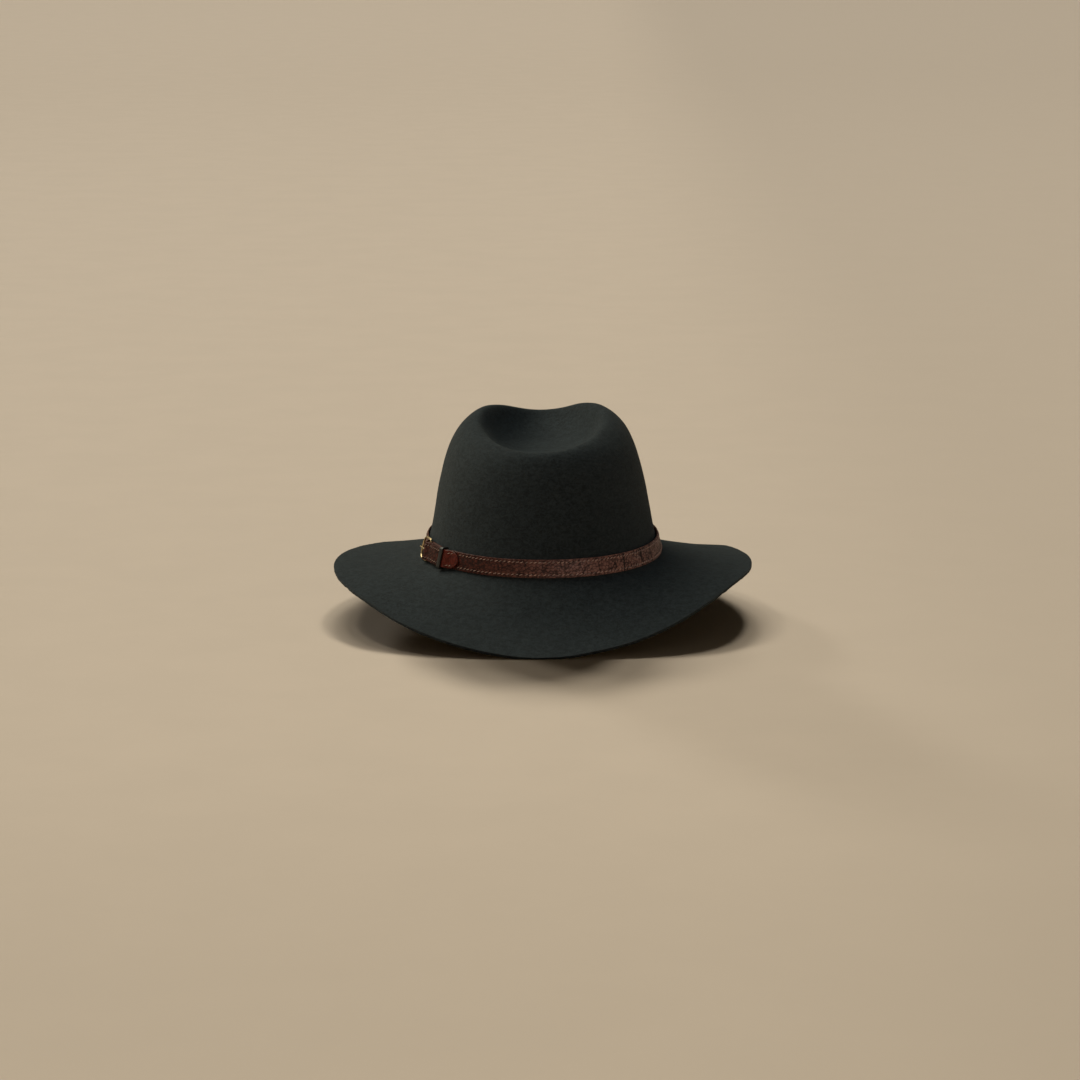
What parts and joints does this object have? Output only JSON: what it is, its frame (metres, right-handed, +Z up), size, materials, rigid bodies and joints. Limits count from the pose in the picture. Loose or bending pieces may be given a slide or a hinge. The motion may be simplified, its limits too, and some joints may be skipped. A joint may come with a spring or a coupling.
{
  "type": "bush hat",
  "caption": "Felt bush hat with a creased crown, a turned down brim raised at the sides and a buckled leather band.",
  "frame": {"origin": "on the surface that the hat rests on, under the middle of the brim", "axes": "+Y towards the front of the hat, the way its wearer looks; +X towards the wearer's right; +Z up"},
  "size_m": [0.296, 0.321, 0.1422],
  "materials": {
    "felt": "brushed fur felt, very dark bottle green",
    "brown_leather": "glossy reptile embossed leather, dark red brown",
    "black_leather": "glossy smooth leather, black",
    "gold_tone_metal": "polished gold tone plating"
  },
  "bodies": {
    "root": {"felt_body": "felt", "band_strap": "brown_leather", "buckle_frame": "gold_tone_metal", "buckle_prong": "gold_tone_metal", "keeper_loop": "black_leather"}
  },
  "joints": []
}
